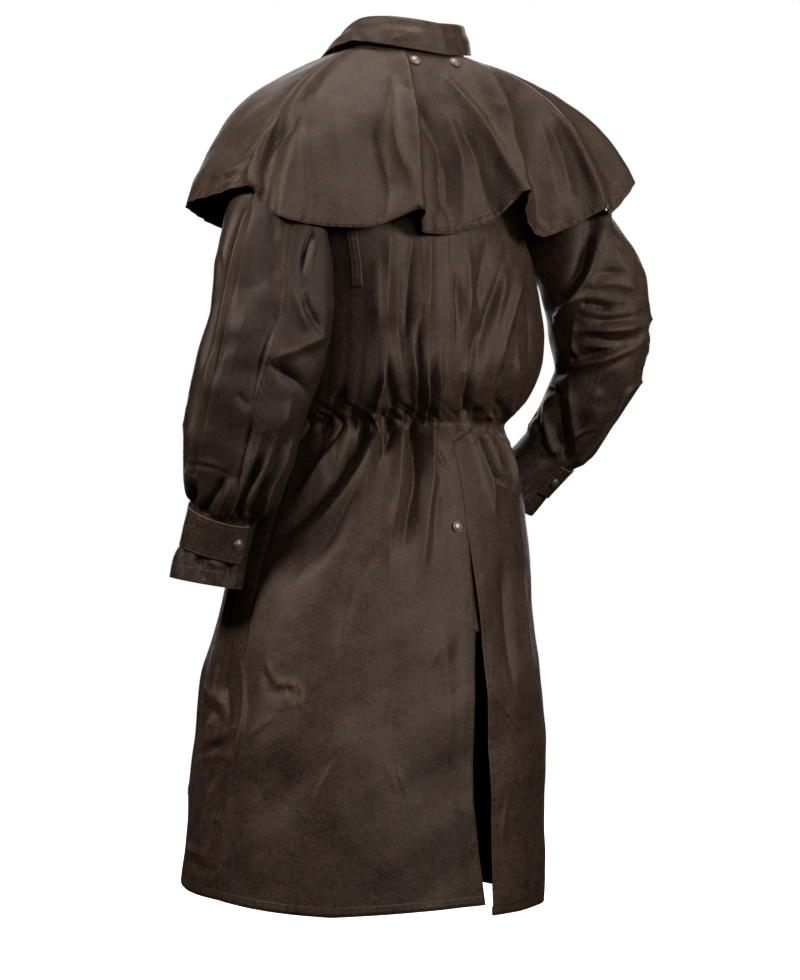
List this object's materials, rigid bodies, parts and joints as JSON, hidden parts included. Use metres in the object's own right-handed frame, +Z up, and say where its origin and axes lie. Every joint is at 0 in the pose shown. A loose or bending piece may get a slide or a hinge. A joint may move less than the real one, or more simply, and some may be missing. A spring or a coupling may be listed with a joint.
{
  "type": "duster coat",
  "caption": "Long oilskin duster coat with a fluted shoulder cape, turned-down collar, gathered waist, cuff straps and a back vent, filled out as worn and hollow inside.",
  "frame": {"origin": "middle of the neck, level with the tops of the wearer's shoulders, where the coat hangs from the wearer", "axes": "+Z up along the coat's length, -Y out of the wearer's front, +X to the wearer's left"},
  "size_m": [0.7517, 0.4678, 1.2769],
  "materials": {
    "oilskin": "dark brown waxed cotton with a low sheen, rubbed lighter on creases",
    "snaps": "antique copper, worn"
  },
  "bodies": {
    "root": {"back_left": "oilskin", "back_right": "oilskin", "front_left": "oilskin", "front_right": "oilskin", "front_flap": "oilskin", "front_snap_1": "snaps", "front_snap_2": "snaps", "front_snap_3": "snaps", "front_snap_4": "snaps", "front_snap_5": "snaps", "vent_gusset": "oilskin", "vent_snap": "snaps", "cape_strap": "oilskin", "sleeve_left_top": "oilskin", "sleeve_left_under": "oilskin", "sleeve_right_top": "oilskin", "sleeve_right_under": "oilskin", "cuff_strap_left": "oilskin", "cuff_strap_right": "oilskin", "cuff_snap_left": "snaps", "cuff_snap_right": "snaps", "cape": "oilskin", "collar_stand": "oilskin", "collar_fall": "oilskin", "collar_snap_left": "snaps", "collar_snap_right": "snaps"}
  },
  "joints": []
}
